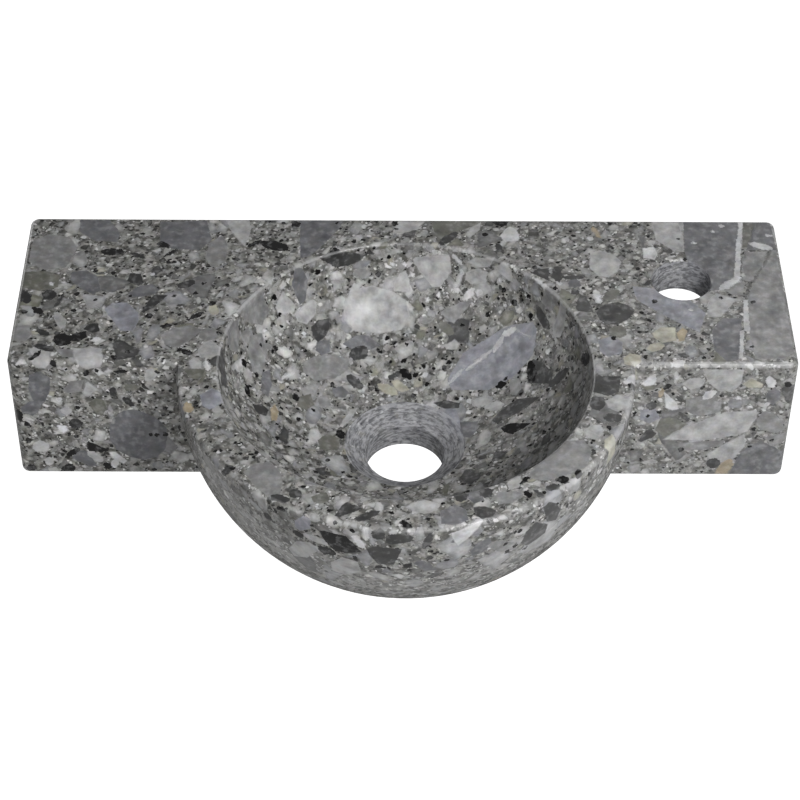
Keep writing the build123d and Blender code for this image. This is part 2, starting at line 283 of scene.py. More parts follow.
        "chip_at_right_arris": [(623, 358), (630, 353), (641, 355), (642, 362), (630, 366), (624, 364)],
        "bed_of_rust_spot": [(652, 333), (660, 327), (676, 327), (677, 341), (662, 343), (654, 338)],
        "chip_on_left_deck": [(209, 306), (215, 304), (218, 309), (216, 315), (210, 314)],
        "peach_in_bowl": [(391, 381), (398, 379), (406, 385), (410, 390), (402, 393), (394, 388)],
        "beside_peach": [(378, 384), (388, 384), (396, 392), (393, 396), (384, 391)],
        "chip_right_of_rim": [(604, 440), (612, 434), (617, 440), (612, 449), (604, 448)],
        "band_on_right_front": [(742, 384), (752, 378), (764, 384), (762, 388), (748, 388)],
    },
    "ochre": {
        "by_tap": [(676, 333), (682, 327), (688, 331), (685, 341), (678, 342)],
        "behind_rim": [(591, 229), (595, 227), (599, 231), (600, 238), (595, 236)],
        "left_of_bowl": [(183, 405), (188, 402), (193, 407), (190, 413), (184, 411)],
        "in_bowl_left": [(270, 409), (275, 403), (279, 412), (277, 421), (271, 421)],
        "foot_of_right_front": [(714, 472), (725, 468), (731, 459), (733, 465), (723, 475), (715, 477)],
        "right_front_spot": [(658, 391), (663, 389), (664, 394), (660, 398)],
    },
    "charcoal": {
        "core_of_dark_lens": [(333, 263), (338, 260), (343, 263), (339, 266), (334, 265.5)],
        "shield_in_bowl_left": [(311, 327), (318, 320), (329, 318), (330, 328), (326, 336), (318, 343),
            (313, 336)],
        "foot_of_star": [(351, 349), (368, 349), (362, 354), (355, 360)],
        "crack": [(753, 217), (754, 217), (753.3, 234), (752.4, 234)],
        "crack_bend": [(752.4, 233), (753.3, 234), (748.7, 248), (747.8, 247)],
        "crack_foot": [(746, 251), (747, 251), (743.6, 260.5), (742.6, 260)],
        "second_crack": [(770.8, 248), (771.6, 249), (763, 268), (762, 267.5)],
        "second_crack_bend": [(762, 267.5), (763, 268), (752.3, 283), (751.2, 281.8)],
        "second_crack_foot": [(751.2, 281.8), (752.3, 283), (745.3, 298), (744.2, 297)],
        "dark_piece_at_left": [(21, 292), (27, 291), (30, 297), (28, 303), (21, 302)],
        "slash_in_right_wall": [(549, 386), (556, 378), (565, 366), (567, 368), (560, 381), (554, 387)],
        "lens_on_left_deck": [(132, 253), (138, 253), (146, 258), (140, 258), (134, 255)],
        "square_on_left_deck": [(130, 273), (141, 274), (144, 283), (138, 286), (127, 281)],
        "wedge_on_left_deck": [(141, 312), (149, 300), (154, 295), (168, 295), (158, 304), (144, 313)],
        "triangle_on_left_deck": [(43, 297), (48, 291), (53, 292), (54, 299)],
        "sliver_on_left_deck": [(54, 306), (60, 296), (64, 294), (61, 302), (57, 307)],
        "oval_on_left_deck": [(83, 329), (88, 324), (98, 323), (100, 331), (92, 333)],
        "by_left_corner": [(36, 330), (42, 329), (48, 332), (47, 336), (40, 334)],
        "before_left_corner": [(35, 346), (40, 343), (50, 346), (55, 350), (50, 352), (38, 349)],
        "left_of_rim": [(180, 283), (184, 281), (195, 281), (195, 285), (184, 289), (179, 287)],
        "foot_of_back_wedge": [(439, 243), (446, 236), (457, 232), (456, 238), (444, 243.5)],
        "tooth_at_back": [(497, 243), (500, 244), (502, 251), (499, 252), (496, 249)],
        "half_moon_behind_rim": [(531, 273), (537, 269), (549, 268), (549, 281), (540, 277)],
        "strip_beside_it": [(551, 269), (560, 267), (561, 277), (558, 282), (555, 276)],
        "bar_behind_rim": [(565, 277), (567, 275), (585, 278), (584, 280), (566, 278)],
        "stone_on_right_deck": [(572, 292), (574, 289), (579, 291), (578, 294), (574, 295)],
        "oval_on_right_deck": [(596, 313), (600, 307), (606, 304), (618, 302), (628, 305), (635, 310),
            (630, 318), (618, 325), (606, 324), (600, 320)],
        "bar_before_tap": [(677, 354), (683, 353), (688, 355), (687, 358), (679, 356)],
        "lens_in_bowl_back": [(319, 259), (332, 253), (347, 252), (366, 255), (361, 260), (348, 266),
            (336, 267)],
        "wedge_in_bowl": [(347, 375), (355, 378), (362, 385), (359, 388), (350, 384)],
        "chip_in_bowl": [(389, 377), (393, 373), (401, 371), (399, 376), (391, 379)],
        "strip_in_right_wall": [(536, 304), (541, 308), (549, 322), (550, 330), (543, 328), (536, 316)],
        "stone_in_right_wall": [(527, 383), (530, 362), (534, 359), (545, 364), (553, 374), (551, 384)],
        "slab_in_right_wall": [(491, 421), (503, 408), (517, 399), (540, 396), (534, 404), (520, 412),
            (500, 424)],
        "bar_behind_drain": [(433, 403), (445, 400), (460, 403), (459, 408), (445, 409)],
        "stone_in_left_wall": [(252, 405), (262, 404), (269, 410), (266, 416), (257, 413)],
        "left_rim_triangle": [(335, 516), (342, 505), (347, 502), (365, 509), (352, 513), (343, 517)],
        "second_rim_triangle": [(357, 517), (366, 512), (380, 511), (372, 517), (363, 521)],
        "oval_on_front_rim": [(473, 507), (484, 506), (496, 510), (494, 516), (482, 519), (475, 515)],
        "stone_behind_it": [(481, 489), (488, 487), (491, 492), (489, 497), (483, 497)],
        "stone_left_of_it": [(453, 497), (458, 493), (467, 492), (466, 499), (460, 500)],
        "rod_on_right_rim": [(533, 489), (537, 489), (544, 496), (542, 499), (538, 496)],
        "stone_on_right_rim": [(545, 487), (551, 484), (560, 486), (558, 489), (549, 490)],
        "slab_on_bowls_right": [(543, 508), (549, 502), (556, 503), (561, 509), (556, 520), (547, 522)],
        "slab_below_it": [(521, 543), (526, 532), (536, 522), (548, 524), (545, 533), (533, 542), (527, 546)],
        "cup_on_bowl": [(366, 549), (375, 546), (402, 549), (398, 558), (394, 565), (378, 564), (370, 556)],
        "bar_above_cup": [(385, 537), (392, 534), (410, 535), (414, 538), (410, 542), (390, 545), (386, 543)],
        "block_above_cup": [(371, 533), (378, 531), (384, 534), (383, 540), (374, 537)],
        "post_on_bowl": [(425, 538), (432, 533), (432, 541), (427, 549), (424, 545)],
        "left_rim_front": [(271, 496), (280, 494), (286, 499), (286, 502), (278, 500)],
        "beside_it": [(289, 492), (295, 489), (301, 491), (298, 497), (292, 498)],
        "lens_on_left_front": [(123, 397), (127, 396), (133, 404), (132, 407), (127, 405)],
        "stone_on_left_front": [(109, 389), (113, 387), (117, 393), (116, 396), (110, 394)],
        "square_on_left_front": [(71, 420), (80, 419), (80, 427), (72, 428)],
        "wide_stone_right_of_bowl": [(592, 376), (621, 376), (619, 392), (608, 396), (593, 392)],
        "stone_right_of_bowl": [(588, 402), (594, 396), (604, 398), (606, 405), (600, 411), (592, 409)],
        "lens_right_of_bowl": [(603, 417), (610, 413), (622, 417), (620, 421), (608, 420)],
        "tooth_on_right_front": [(638, 441), (646, 430), (652, 429), (657, 434), (652, 438), (641, 442)],
        "diamond_on_right_front": [(707, 466), (711, 458), (719, 461), (716, 465), (712, 467)],
        "chip_on_right_front": [(646, 406), (650, 402), (657, 406), (652, 409)],
        "hook_on_right_front": [(678, 411), (683, 413), (689, 421), (684, 420)],
        "brown_edge_on_right": [(781, 388), (790, 385), (797, 388), (793, 404), (786, 402), (783, 394)],
    },
    "black": {
        "back_wedge": [(484, 216), (511, 216), (507, 225.5), (502, 227), (495, 224.5)],
        "lens_on_left_deck": [(101, 251), (108, 249.5), (121, 250), (120, 253), (112, 255)],
        "lens_behind_left_corner": [(33, 307), (42, 310), (42, 314), (36, 313)],
        "string_on_left": [(53, 342), (58, 337), (70, 335), (72, 341), (58, 343)],
        "string_end_on_left": [(69, 336), (76, 333), (86, 331), (87, 337), (80, 341), (70, 341)],
        "slash_by_left_corner": [(29, 358), (33, 354), (41, 351), (42, 353), (36, 357), (30, 360)],
        "back_string": [(157, 243), (170, 244), (169, 246), (157, 246)],
        "second_back_string": [(163, 257), (172, 251), (178, 249), (170, 255)],
        "chevron_left": [(249, 247), (257, 240), (262, 240), (252, 247)],
        "chevron_right": [(262, 242), (270, 241), (278, 245), (289, 249), (282, 249), (268, 249)],
        "lens_left_of_rim": [(232, 259), (236, 257.5), (240, 259), (236, 260.5)],
        "back_left_of_rim": [(291, 225), (296, 221), (300, 222), (299, 225), (293, 226)],
        "bent_string": [(190, 317), (194, 314), (204, 312), (205, 314), (198, 317), (191, 318)],
        "dash_by_left_rim": [(209, 303), (216, 302), (216, 304), (210, 305)],
        "lens_on_left_arris": [(161, 326), (165, 324.5), (172, 325.5), (166, 327.5)],
        "lens_by_left_rim": [(181, 352), (184, 350), (191, 351), (192, 354), (185, 354)],
        "head_of_dark_lens": [(329, 252), (334, 250), (340, 249.5), (334, 252.5)],
        "diamond_in_bowl": [(400, 369), (408, 371), (412, 378), (406, 378), (402, 374)],
        "bar_in_bowl_right": [(495, 387), (498, 384), (505, 382), (505, 387)],
        "stone_in_right_wall": [(581, 359), (585, 352), (589, 356), (589, 363), (584, 364)],
        "edge_of_dark_stone": [(527, 381), (530, 364), (533, 361), (534, 370), (532, 383)],
        "slab_under_right_wall": [(500, 428), (510, 423), (531, 423), (522, 429), (512, 434), (504, 432)],
        "corner_in_bowl_left": [(336, 432), (341, 431), (345, 436), (340, 438)],
        "dash_in_left_wall": [(271, 296), (277, 295), (276, 299), (272, 299)],
        "lens_in_left_wall": [(242, 360), (244, 360), (247, 365), (244, 366)],
        "tall_lens_in_left_wall": [(245, 387), (248, 385), (250, 393), (247, 394)],
        "diamond_on_bowl": [(319, 531), (325, 531), (345, 536), (352, 542), (361, 552), (345, 553),
            (335, 551), (325, 541)],
        "lens_below_diamond": [(318, 549), (324, 548), (331, 550), (336, 554), (325, 554)],
        "stone_on_front_rim": [(399, 523), (404, 520), (410, 524), (411, 528), (405, 526)],
        "lens_on_right_rim": [(519, 483), (525, 477), (530, 476), (529, 480), (522, 485)],
        "pair_on_right_rim": [(558, 479), (564, 476), (569, 478), (566, 483), (560, 482)],
        "end_of_right_rim": [(575, 473), (579, 470), (582, 473), (579, 478)],
        "dash_on_right_rim": [(524, 492), (528, 491), (532, 497), (529, 497)],
        "string_on_bowls_left": [(223, 468), (228, 465), (235, 467), (233, 470), (227, 470)],
        "string_foot_on_bowls_left": [(223, 470), (227, 470), (226, 476), (223, 474)],
        "lens_on_bowls_left": [(276, 508), (281, 507), (284, 509), (280, 511)],
        "dash_on_bowls_left": [(264, 513), (268, 514), (271, 520), (267, 519)],
        "dash_on_bowl": [(293, 531), (298, 532), (303, 536), (299, 537)],
        "lens_low_on_bowl": [(403, 566), (408, 564), (412, 565), (408, 568)],
        "line_low_on_bowl": [(375, 566), (386, 567.5), (380, 569)],
        "edge_on_left_front": [(14, 411), (20, 411), (23, 415), (20, 421), (16, 420)],
        "lens_on_left_front": [(115, 371), (120, 370), (127, 371), (122, 373), (116, 373)],
        "slash_on_left_front": [(83, 374), (88, 370), (89, 373), (85, 376)],
        "wedge_on_left_front": [(86, 446), (88, 441), (95, 444), (109, 450), (106, 452), (89, 451)],
        "tail_of_wedge": [(67, 456), (72, 449), (80, 449), (74, 453)],
        "fan_on_left_front": [(61, 474), (66, 468), (72, 464), (72, 474)],
        "drop_on_left_front": [(103, 466), (108, 463), (111, 464), (111, 468), (106, 468)],
        "pebble_on_left_front": [(27, 467), (31, 464), (36, 467), (34, 470), (29, 470)],
        "slash_on_right_front": [(664, 389), (668, 384), (671, 384), (667, 390)],
        "chip_on_right_front": [(628, 384), (633, 382), (637, 388), (633, 388)],
        "edge_stone_on_right": [(784, 384), (789, 382), (792, 385), (788, 387)],
    },
}

# Small round grains in the same pixels, each as its middle's x and y and its half width
GRAINS = {
    "black": {
        "left_deck": [(142.5, 234, 2.3), (95.5, 271, 2.8), (85.5, 267, 2), (104, 293.5, 2), (130, 296.5, 2),
            (149, 316, 3.5), (157, 310, 2.2), (167, 325, 3.5), (24, 312, 3), (57, 333.5, 3), (50, 328, 2.5),
            (113.5, 357.5, 3), (128, 351.5, 2.4)],
        "beside_the_left_rim": [(202.5, 268.5, 2.2), (203.5, 283.5, 2.2), (195.5, 293, 2.2), (213, 286, 2),
            (168, 262, 2.2), (178, 268, 2), (174.5, 296, 2), (188.5, 319.5, 2), (337, 223, 2),
            (345.5, 232, 2), (363.5, 240, 2.2), (395, 223, 3.6), (396, 229, 2.2), (354, 241, 3),
            (374, 248, 2.2)],
        "right_deck": [(485, 234.5, 3), (534, 267, 2.8), (555, 288, 2.6), (586, 222, 2), (549, 221, 2.4),
            (612, 248, 2.2), (609, 240, 2), (624, 256, 2), (648, 236, 2.2), (654.5, 301.5, 3),
            (649, 320.5, 2.6), (613.5, 338, 2.8), (704, 357.5, 2.2), (701.5, 339.5, 2), (753, 302, 2.4),
            (721, 297.5, 2), (678, 239, 2), (577, 270, 2), (610, 224, 2.8), (752, 347, 2)],
        "bowl_back": [(317.7, 271.6, 3.6), (378.5, 274.5, 3), (457, 268.5, 2.6), (488, 315, 2.8),
            (514, 303, 3.4), (530.5, 315.5, 3), (529, 297, 2.6), (504, 290, 2.8), (369, 281.5, 2),
            (463, 325, 2)],
        "bowl_middle": [(415.5, 375, 3), (424, 366, 2.2), (449, 362, 2.6), (444, 368, 2.6), (394.5, 343, 2.4),
            (407, 344.5, 2), (440.5, 338, 2), (387, 338, 2.6), (376.5, 390, 2.2), (413.5, 395.5, 2.8),
            (427, 384, 2.6), (414, 354.5, 2), (381, 352, 2), (404, 361, 2.4), (506, 378.5, 2.2),
            (521, 393.5, 2.2)],
        "left_wall": [(279.5, 314.5, 2.2), (261, 345, 2), (275.5, 348, 2.8), (272.5, 351.5, 2),
            (241.5, 353, 2.4), (256.5, 375, 2.4), (281, 408, 2.2), (298.5, 419, 2.4), (313.5, 410, 2),
            (296, 398, 4), (277, 438, 2.6), (307, 440, 2.4), (277, 424, 2.2), (332, 384, 2.6),
            (250, 386, 2.4)],
        "left_front": [(77, 408, 2.2), (69, 434.5, 2.2), (76.5, 436.5, 2.4), (65, 451, 2.2), (29, 441.5, 2),
            (103.5, 455, 2.2), (96.5, 370.5, 2.4), (157, 372, 2.2), (150.5, 434.5, 2.2), (165, 408.5, 2.4),
            (163, 414.5, 2), (172, 429, 2.2), (165.5, 434.5, 3), (157, 435, 2.4), (186, 440, 2),
            (196, 402.5, 3), (139, 401.5, 2.2), (42, 424, 2.2), (27, 424, 3)],
        "right_front": [(673, 394, 2.2), (703, 387.5, 2), (722, 395.5, 2.6), (659, 412.5, 2.4),
            (754, 429, 2.8), (749.5, 446.5, 2), (787, 417.5, 2), (648, 416, 2.2), (634, 413, 2.2),
            (610, 428.5, 2), (681, 449.5, 3), (694, 420.5, 2), (772, 440, 2.2)],
        "bowl_outside": [(428, 519, 2.4), (392, 513, 2.4), (335.5, 523, 2.2), (312, 525.5, 2),
            (220.5, 451, 2), (240.5, 454, 2.2), (257, 452, 2.6), (247, 458, 2), (443.5, 503, 2),
            (520, 531, 2.6), (515, 532, 2.2), (506, 544, 2.2), (515, 546, 2.6), (525, 548.5, 2.4),
            (507, 551.5, 3), (571, 503, 2), (594, 452, 2.2), (410, 570, 2.4), (355, 557, 2.2),
            (352, 531, 2.6), (447, 579, 2.2), (431, 551, 2), (447, 560, 2.2)],
    },
    "white": {
        "left": [(51.5, 284, 3), (64, 282.5, 2.5), (84, 237.5, 3), (101, 320, 2.4), (153, 274, 3),
            (120, 335, 2.4), (146, 347, 2.6), (58.5, 399.5, 3.4), (187, 416, 3), (181, 393, 2.6)],
        "bowl": [(457, 290, 3.6), (392, 264, 3), (405, 264.5, 3), (413, 275, 3), (492, 274, 2.6),
            (500, 280, 3), (461, 399, 3), (469, 401, 3.4), (469, 412, 3.2), (476, 394, 2.4), (524, 369, 3),
            (548, 352, 3.6), (479, 292, 4), (533, 393, 2.8), (425, 375, 3.4), (430, 339, 2.4),
            (500, 312, 2.6), (505, 306, 2.4), (304, 334, 3), (297, 334, 2.6), (265, 331, 2.6),
            (435, 252, 3.6), (439, 295, 3.2), (428, 300, 3.2)],
        "right": [(721, 226, 3.2), (713, 231.5, 2.4), (694, 243, 2.8), (691, 310, 2.4), (559, 283, 3.4),
            (590, 238.5, 3.4), (364, 227, 3.6), (743, 275, 3), (583, 245, 2.4), (781, 412, 3), (739, 398, 3),
            (750, 407, 2.8), (767, 404, 3), (727, 408, 3), (641, 408, 3.4)],
    },
}

# Fragments of a smaller area than this, in square pixels, are laid as rounded stones
SMALL_AREA = 110

# A rounded stone whose length is under this many widths is laid as a ball
BALL_SHARE = 1.4

# How far each fragment's own detail is moved from its neighbours', in millimetres
SHIFT = 50.0

# Where the cells of broken stones and of grains start, in cells, so that layers don't line up
CLAST_START = (3.7, 1.9, 5.3)
SPECK_START = (2.3, 7.1, 0.7)

# How dark a broken stone is at its border, and how many times the border's own fade that reaches in
BORDER_SHADE = 0.7
BORDER_REACH = 3

# The share of a scattered grain's radius that is solid, and how far outside a placed fragment it fades out
SPECK_CORE = 0.75
FADE_OUT = 0.25

# How strongly clouds mottle the stone, and how much less fine grain fragments have than the ground
CLOUD_CONTRAST = 1.5
CLOUD_BASE = 0.26
SOLID_GRAIN = -0.6

# How much of the stone's own colour drill and saw hide, and how much rougher dull stone is
DRILLED_SHARE = 0.65
SAWN_SHARE = 0.4
DULL_ROUGHNESS = 0.42

# Where the poles of the flat faces are in front of them, and how deep fragments go below each face
POLE_DISTANCE = 1000
BLOCK_DEPTH = 12
HOLLOW_DEPTH = 1.3
BOWL_DEPTH = 3

# How far past a dull face or hole its dull look reaches
SKIN = 0.3
BACK_SKIN = 0.5
TAP_SKIN = 0.2

# How far below the top the tap hole's dull wall starts, under its rounded edge
TAP_ROUNDING = 0.9

# Where the rounded edges get a painted highlight, by their distances from both faces added up, and how much,
# the outer one more to the right
OUTER_HIGHLIGHT = (3.1, 2.3)
OUTER_HIGHLIGHT_SHARE = 0.12
OUTER_HIGHLIGHT_SLOPE = 0.0005
RIM_HIGHLIGHT = (1.8, 1.5)
RIM_HIGHLIGHT_SHARE = 0.18

# The stone's contrast in the middle, and how it and the brightness change per millimetre to the right
MIDDLE_CONTRAST = 1.09
CONTRAST_SLOPE = -0.0006
BRIGHTNESS_SLOPE = 0.0004

# The colour that the contrast turns about, and the darkest that it leaves
MEAN_COLOUR = 0.17
DARKEST = 0.004

# The world's light, and the glow that shows the floor as near white
AMBIENT = 0.16
FLOOR_GLOW = 0.8


def srgb(red, green, blue):
    """A colour given as 0 to 255 levels, as Blender's linear RGBA."""

    def linear(level):
        share = level / 255
        return share / 12.92 if level <= 10 else ((share + 0.055) / 1.055) ** 2.4

    return (linear(red), linear(green), linear(blue), 1.0)


def grey(light, warm=0):
    """A grey of that level, a little yellowish for a warm above 0 and a little bluish below."""
    return srgb(light + warm * 0.4, light + warm * 0.2, light - warm)


class Graph:
    """Adds nodes to a tree. Each call returns the new node's output."""

    def __init__(self, tree):
        self.tree = tree
        self.tree.nodes.clear()

    @classmethod
    def of(cls, owner):
        """The graph of a material or world."""
        owner.use_nodes = True
        return cls(owner.node_tree)

    def node(self, kind, **settings):
        made = self.tree.nodes.new(kind)
        for name, value in settings.items():
            setattr(made, name, value)
        return made

    def feed(self, socket, value):
        """Links a socket to another node's output, or sets it to a plain value."""
        if isinstance(value, bpy.types.NodeSocket):
            self.tree.links.new(value, socket)
        else:
            socket.default_value = value

    def math(self, operation, *values):
        made = self.node("ShaderNodeMath", operation=operation)
        for socket, value in zip(made.inputs, values):
            self.feed(socket, value)
        return made.outputs[0]

    def vector(self, operation, *values):
        made = self.node("ShaderNodeVectorMath", operation=operation)
        for socket, value in zip(made.inputs, values):
            self.feed(socket, value)
        return made.outputs["Value" if operation in ("DOT_PRODUCT", "LENGTH", "DISTANCE") else "Vector"]

    def scaled(self, point, factor):
        made = self.node("ShaderNodeVectorMath", operation="SCALE")
        self.feed(made.inputs[0], point)
        self.feed(made.inputs["Scale"], factor)
        return made.outputs[0]

    def parts(self, value):
        made = self.node("ShaderNodeSeparateXYZ")
        self.feed(made.inputs[0], value)
        return made.outputs

    def joined(self, x, y, z):
        made = self.node("ShaderNodeCombineXYZ")
        for socket, value in zip(made.inputs, (x, y, z)):
            self.feed(socket, value)
        return made.outputs[0]

    def placed(self, point, place=(0, 0, 0), turn=(0, 0, 0), size=(1, 1, 1)):
        """The point in the axes of a thing with that place, turn in degrees and size."""
        made = self.node("ShaderNodeMapping", vector_type="TEXTURE")
        self.feed(made.inputs["Vector"], point)
        made.inputs["Location"].default_value = place
        made.inputs["Rotation"].default_value = [math.radians(angle) for angle in turn]
        made.inputs["Scale"].default_value = size
        return made.outputs[0]

    def noise(self, point, size, detail=2.0, roughness=0.5, output="Fac"):
        made = self.node("ShaderNodeTexNoise")
        self.feed(made.inputs["Vector"], point)
        made.inputs["Scale"].default_value = 1 / size
        made.inputs["Detail"].default_value = detail
        made.inputs["Roughness"].default_value = roughness
        return made.outputs[output]

    def cells(self, point, feature="F1"):
        made = self.node("ShaderNodeTexVoronoi", feature=feature)
        self.feed(made.inputs["Vector"], point)
        made.inputs["Scale"].default_value = 1.0
        return made.outputs

    def step(self, value, low, high):
        """0 below low, 1 above high, smooth between. With low above high it falls instead."""
        made = self.node("ShaderNodeMapRange", interpolation_type="SMOOTHSTEP")
        self.feed(made.inputs["Value"], value)
        self.feed(made.inputs["From Min"], low)
        self.feed(made.inputs["From Max"], high)
        return made.outputs[0]

    def mix(self, share, first, second, blend="MIX"):
        made = self.node("ShaderNodeMix", data_type="RGBA", blend_type=blend)
        self.feed(made.inputs[0], share)
        self.feed(made.inputs[6], first)
        self.feed(made.inputs[7], second)
        return made.outputs[2]

    def palette(self, value, colours):
        """A colour picked by a random value from 0 to 1, from (share, colour) pairs."""
        made = self.node("ShaderNodeValToRGB")
        self.feed(made.inputs[0], value)
        ramp = made.color_ramp
        ramp.interpolation = "CONSTANT"
        total = sum(share for share, colour in colours)
        start = 0.0
        for number, (share, colour) in enumerate(colours):
            element = ramp.elements[number] if number < 2 else ramp.elements.new(start)
            element.position = start
            element.color = colour
            start += share / total
        return made.outputs[0]

    def group(self, tree, value):
        made = self.node("ShaderNodeGroup", node_tree=tree)
        self.feed(made.inputs[0], value)
        return made.outputs[0]

    def fold(self, operation, makers):
        """Joins the values that the makers give by one operation, two by two."""
        if len(makers) == 1:
            return makers[0]()
        half = len(makers) // 2
        first = self.fold(operation, makers[:half])
        second = self.fold(operation, makers[half:])
        return self.math(operation, first, second)

    def bump(self, height, depth):
        """The normal of a surface with that height, where 1 stands for depth in millimetres."""
        made = self.node("ShaderNodeBump")
        made.inputs["Strength"].default_value = 1.0
        made.inputs["Distance"].default_value = depth * MM
        self.feed(made.inputs["Height"], height)
        return made.outputs[0]

    def surface(self, **inputs):
        """The material's shader, with each input named in plain words."""
        shader = self.node("ShaderNodeBsdfPrincipled")
        for name, value in inputs.items():
            self.feed(shader.inputs[name.replace("_", " ").title().replace("Ior", "IOR")], value)
        self.tree.links.new(shader.outputs[0], self.node("ShaderNodeOutputMaterial").inputs[0])


def ray(pixel):
    """The direction from the photograph's camera through a pixel."""
    x, y = pixel
    middle = PHOTO_SIDE / 2
    return (forward * FOCAL_PIXELS + right * (x - middle) + up * (middle - y)).normalized()


class FlatFace:
    """A flat face of the stone. Its fragments taper to a pole far in front and end below its surface."""

    def __init__(self, axis, level, inward, pole, depth):
        self.axis = axis
        self.level = level
        self.inward = inward
        self.pole = Vector(pole)
        self.depth = depth

    def meet(self, direction):
        reach = (self.level - camera_place[self.axis]) / direction[self.axis]
        return camera_place + direction * reach

    def gap(self, place):
        return abs(place[self.axis] - self.level)

    def zone(self, g, place):
        """Below 0 in the layer of stone under the face, as deep as its fragments go."""
        along = g.parts(place)[self.axis]
        return g.math("MULTIPLY_ADD", along, self.inward, -self.level * self.inward - self.depth)


class RoundFace:
    """A round face of the stone, inside or outside the bowl, whose fragments taper to its middle."""

    def __init__(self, middle, radii, inside, depth):
        self.pole = middle
        self.radii = Vector(radii)
        self.side = 1 if inside else -1
        self.depth = depth

    def share(self, offset):
        return Vector([value / radius for value, radius in zip(offset, self.radii)])

    def meet(self, direction):
        start = self.share(camera_place - self.pole)
        step = self.share(direction)
        half = start.dot(step)
        root = math.sqrt(max(half ** 2 - step.dot(step) * (start.dot(start) - 1), 0))
        return camera_place + direction * ((self.side * root - half) / step.dot(step))

    def gap(self, place):
        return abs(self.share(place - self.pole).length - 1) * min(self.radii)

    def zone(self, g, place):
        share = g.vector("LENGTH", g.placed(place, place=self.pole, size=self.radii))
        reach = min(self.radii) * self.side
        return g.math("MULTIPLY_ADD", share, reach, -reach - self.depth)


FACES = {
    "deck": FlatFace(axis=2, level=top, inward=-1, depth=BLOCK_DEPTH,
                     pole=(0, front / 2, top + POLE_DISTANCE)),
    "front": FlatFace(axis=1, level=front, inward=1, depth=BLOCK_DEPTH,
                      pole=(0, front - POLE_DISTANCE, (top + underside) / 2)),
    "hollow": RoundFace(hollow_middle, (hollow_radius, hollow_radius, hollow_depth), inside=True,
                        depth=HOLLOW_DEPTH),
    "bowl": RoundFace(bowl_middle, (bowl_radius, bowl_radius, bowl_radius), inside=False,
                      depth=BOWL_DEPTH),
}


def face_at(surface, pixel):
    """The face of the stone that the photograph shows at a pixel, and the place there."""
    place, normal, number, distance = surface.ray_cast(camera_place * MM, ray(pixel))
    if place is None:
        return "deck", FACES["deck"].meet(ray(pixel))
    name = min(FACES, key=lambda face: FACES[face].gap(place / MM))
    return name, place / MM


def middle_of(corners):
    return (sum(x for x, y in corners) / len(corners), sum(y for x, y in corners) / len(corners))


def polygon(g, place, face, corners):
    """A maker of a fragment with those corners: its value is below 0 inside."""
    inside = face.meet(ray(middle_of(corners))) - face.pole
    rays = [face.meet(ray(corner)) - face.pole for corner in corners]
    edges = []
    for first, second in zip(rays, rays[1:] + rays[:1]):
        normal = first.cross(second).normalized()
        edges.append(normal if normal.dot(inside) < 0 else -normal)
    makers = [lambda edge=edge: g.vector("DOT_PRODUCT", place, edge) for edge in edges]
    return lambda: g.fold("MAXIMUM", makers)


def ball(g, place, middle, radius):
    """A maker of a round stone: its value is below 0 inside."""
    return lambda: g.math("SUBTRACT", g.vector("DISTANCE", place, middle), radius)


def oval(g, place, face, corners):
    """A maker of a small rounded stone that reaches those corners: its value is below 0 inside."""
    spots = [face.meet(ray(corner)) for corner in corners]
    middle = sum(spots, Vector()) / len(spots)
    far = max(spots, key=lambda spot: (spot - middle).length) - middle
    half_length = far.length
    half_width = max((spot - middle).cross(far).length for spot in spots) / half_length
    if half_length < half_width * BALL_SHARE:
        return ball(g, place, middle, (half_length + half_width) / 2)
    focus = far.normalized() * math.sqrt(half_length ** 2 - half_width ** 2)

    def make():
        first = g.vector("DISTANCE", place, middle - focus)
        second = g.vector("DISTANCE", place, middle + focus)
        return g.math("SUBTRACT", g.math("ADD", first, second), 2 * half_length)

    return make


def area_of(corners):
    """The area inside those corners, in square pixels."""
    sides = zip(corners, corners[1:] + corners[:1])
    return abs(sum(x0 * y1 - x1 * y0 for (x0, y0), (x1, y1) in sides)) / 2


def depth_group(name, build):
    """A node group from a place to the value that build makes of it, which is below 0 inside the shapes."""
    tree = bpy.data.node_groups.new(name, "ShaderNodeTree")
    tree.interface.new_socket("Place", in_out="INPUT", socket_type="NodeSocketVector")
    tree.interface.new_socket("Depth", in_out="OUTPUT", socket_type="NodeSocketFloat")
    g = Graph(tree)
    place = g.node("NodeGroupInput").outputs[0]
    g.feed(g.node("NodeGroupOutput").inputs[0], build(g, place))
    return tree


def groups_of(kind, surface):
    """One kind's node groups: its large angular fragments face by face, and its small rounded stones."""
    large = {name: [] for name in FACES}
    small = []
    for corners in FRAGMENTS.get(kind, {}).values():
        name = face_at(surface, middle_of(corners))[0]
        if area_of(corners) < SMALL_AREA:
            small.append((FACES[name], corners))
        else:
            large[name].append(corners)
    grains = [grain for group in GRAINS.get(kind, {}).values() for grain in group]

    def fragments(face, outlines):
        def build(g, place):
            from_pole = g.vector("SUBTRACT", place, face.pole)
            depth = g.fold("MINIMUM", [polygon(g, from_pole, face, corners) for corners in outlines])
            return g.math("MAXIMUM", depth, face.zone(g, place))
        return build

    def stones(g, place):
        makers = [oval(g, place, face, corners) for face, corners in small]
        makers += [ball(g, place, face_at(surface, (x, y))[1], half_width * MM_PER_PIXEL)
                   for x, y, half_width in grains]
        return g.fold("MINIMUM", makers)

    angular = [depth_group(f"{kind}_on_the_{name}", fragments(FACES[name], outlines))
               for name, outlines in large.items() if outlines]
    rounded = [depth_group(f"{kind}_stones", stones)] if small or grains else []
    return angular, rounded


